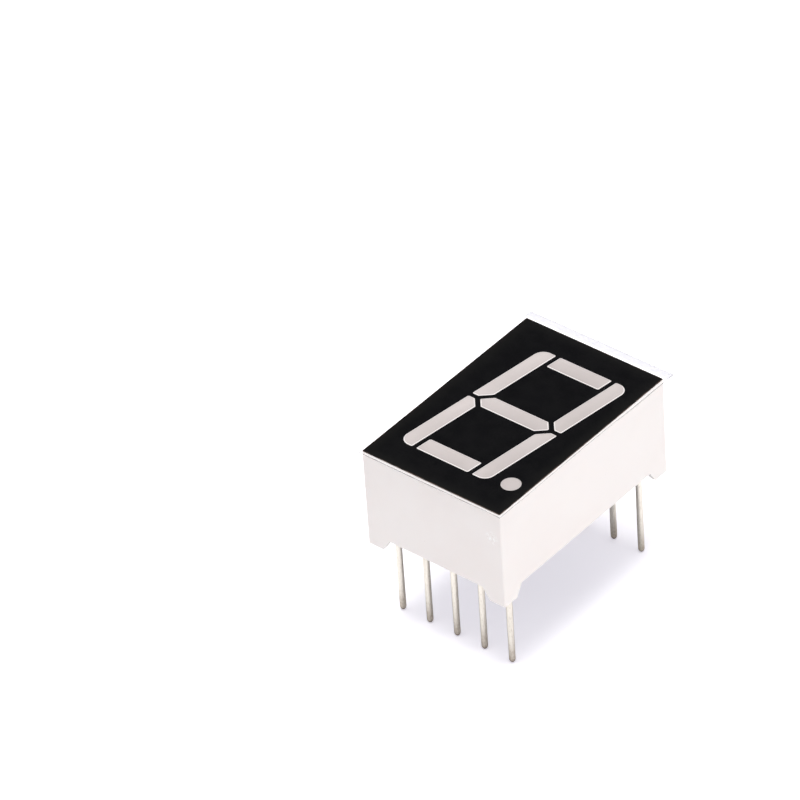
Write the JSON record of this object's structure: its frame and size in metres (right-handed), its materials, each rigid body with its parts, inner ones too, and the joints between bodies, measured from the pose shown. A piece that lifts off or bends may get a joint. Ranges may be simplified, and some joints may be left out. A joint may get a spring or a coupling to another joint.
{
  "type": "seven segment display",
  "caption": "Upright LED digit of seven bars and a point in a white case with a black face, on two rows of wire pins.",
  "frame": {"origin": "centre of the pin grid, in the seating plane of the four feet", "axes": "+Z out of the face, +Y to the top of the digit, +X to the digit's right; the pins point along -Z"},
  "size_m": [0.0132, 0.0202, 0.0155],
  "materials": {
    "housing_white": "satin moulded white, slightly translucent",
    "face_black": "matt printed black",
    "film_clear": "clear peel-off film",
    "diffuser_grey": "milky epoxy, faintly warm",
    "board_dark": "near-black laminate",
    "copper": "bare copper, dulled",
    "solder": "soft bright solder",
    "potting_clear": "clear glossy epoxy",
    "led_chip": "polished semiconductor",
    "gold_wire": "drawn gold",
    "tinned_pin": "tinned wire, dull at the tips"
  },
  "bodies": {
    "root": {"reflector_housing": "housing_white", "face_mask": "face_black", "protective_film": "film_clear", "circuit_board": "board_dark", "front_tracks": "copper", "rear_tracks": "copper", "solder_fillets": "solder", "rear_potting": "potting_clear", "light_bar_a": "diffuser_grey", "light_bar_b": "diffuser_grey", "light_bar_c": "diffuser_grey", "light_bar_d": "diffuser_grey", "light_bar_e": "diffuser_grey", "light_bar_f": "diffuser_grey", "light_bar_g": "diffuser_grey", "decimal_dot": "diffuser_grey", "led_chip_a": "led_chip", "led_chip_b": "led_chip", "led_chip_c": "led_chip", "led_chip_d": "led_chip", "led_chip_e": "led_chip", "led_chip_f": "led_chip", "led_chip_g": "led_chip", "led_chip_dot": "led_chip", "bond_wire_a": "gold_wire", "bond_wire_b": "gold_wire", "bond_wire_c": "gold_wire", "bond_wire_d": "gold_wire", "bond_wire_e": "gold_wire", "bond_wire_f": "gold_wire", "bond_wire_g": "gold_wire", "bond_wire_dot": "gold_wire", "pin_1": "tinned_pin", "pin_2": "tinned_pin", "pin_3": "tinned_pin", "pin_4": "tinned_pin", "pin_5": "tinned_pin", "pin_6": "tinned_pin", "pin_7": "tinned_pin", "pin_8": "tinned_pin", "pin_9": "tinned_pin", "pin_10": "tinned_pin"}
  },
  "joints": []
}
